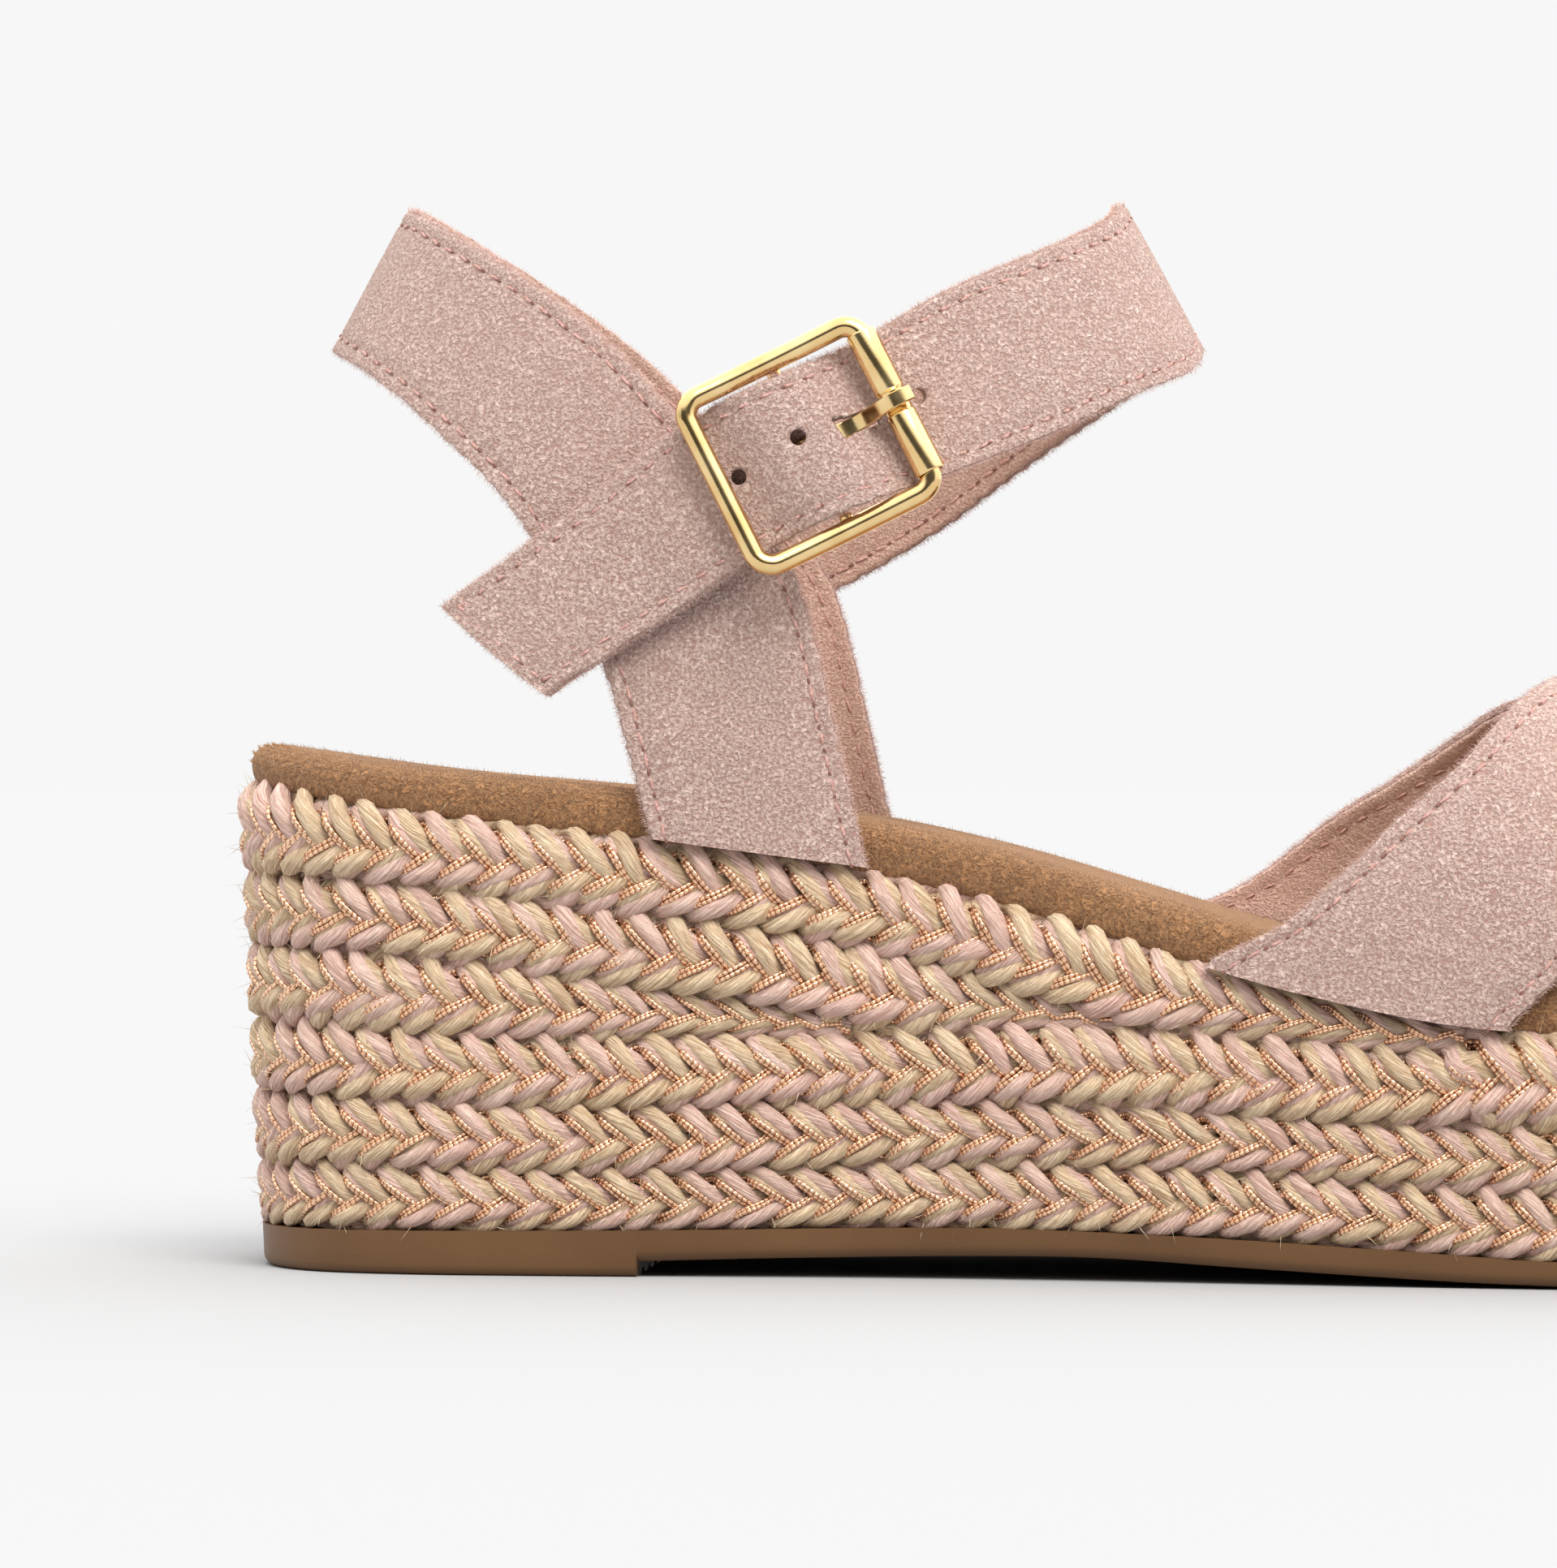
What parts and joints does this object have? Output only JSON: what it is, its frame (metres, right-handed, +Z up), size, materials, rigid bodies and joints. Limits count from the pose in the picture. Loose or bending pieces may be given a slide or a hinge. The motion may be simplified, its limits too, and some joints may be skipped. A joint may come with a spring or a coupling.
{
  "type": "wedge sandal",
  "caption": "Open wedge sandal for the right foot: braid-wrapped wedge on a rubber sole, padded footbed, crossed suede vamp bands, heel strap and buckled ankle strap.",
  "frame": {"origin": "middle of the shoe's outer box, on the ground plane that the sole rests on", "axes": "+X from heel to toe, +Y to the inner side of the foot, +Z up"},
  "size_m": [0.2534, 0.0866, 0.1343],
  "materials": {
    "rubber_sole": "moulded rubber, satin",
    "wedge_core": "pressed cork and EVA",
    "insole_board": "pressed fibre board",
    "footbed_foam": "open latex foam",
    "footbed_microsuede": "brushed microsuede",
    "jute_braid": "three-strand braid of two-ply jute with copper cords",
    "suede": "napped split suede, dusty pink",
    "strap_lining": "microfibre lining, dusty pink",
    "gold_metal": "polished pale gold plate"
  },
  "bodies": {
    "shoe": {"outsole": "rubber_sole", "wedge_core": "wedge_core", "insole_board": "insole_board", "footbed_foam": "footbed_foam", "footbed_cover": "footbed_microsuede", "braid_course_1": "jute_braid", "braid_course_2": "jute_braid", "braid_course_3": "jute_braid", "braid_course_4": "jute_braid", "braid_course_5": "jute_braid", "braid_course_6": "jute_braid", "heel_strap_lining": "strap_lining", "heel_strap_outer": "suede", "ankle_strap_lining": "strap_lining", "ankle_strap_outer": "suede", "over_band_lining": "strap_lining", "over_band_outer": "suede", "under_band_lining": "strap_lining", "under_band_outer": "suede", "buckle_chape": "suede"},
    "strap_tip": {"strap_tip_lining": "strap_lining", "strap_tip_outer": "suede"},
    "buckle": {"buckle_frame": "gold_metal"},
    "roller": {"buckle_roller": "gold_metal"},
    "prong": {"buckle_prong": "gold_metal"}
  },
  "joints": [
    {"name": "tip_lift", "type": "hinge", "parent": "shoe", "child": "strap_tip", "pos_m": [-0.0686, -0.0335, 0.0923], "axis": [-0.5947, 0.1047, 0.7971], "range_deg": [0, 60]},
    {"name": "buckle_tilt", "type": "hinge", "parent": "shoe", "child": "buckle", "pos_m": [-0.05079, -0.03191, 0.10242], "axis": [0.4525, -0.0815, -0.888], "range_deg": [-3, 3]},
    {"name": "roller_spin", "type": "hinge", "parent": "buckle", "child": "roller", "pos_m": [-0.04029, -0.03314, 0.10788], "axis": [0.4525, -0.0815, -0.888], "continuous": true},
    {"name": "prong_lift", "type": "hinge", "parent": "buckle", "child": "prong", "pos_m": [-0.05079, -0.03191, 0.10242], "axis": [0.4525, -0.0815, -0.888], "range_deg": [0, 25]}
  ]
}
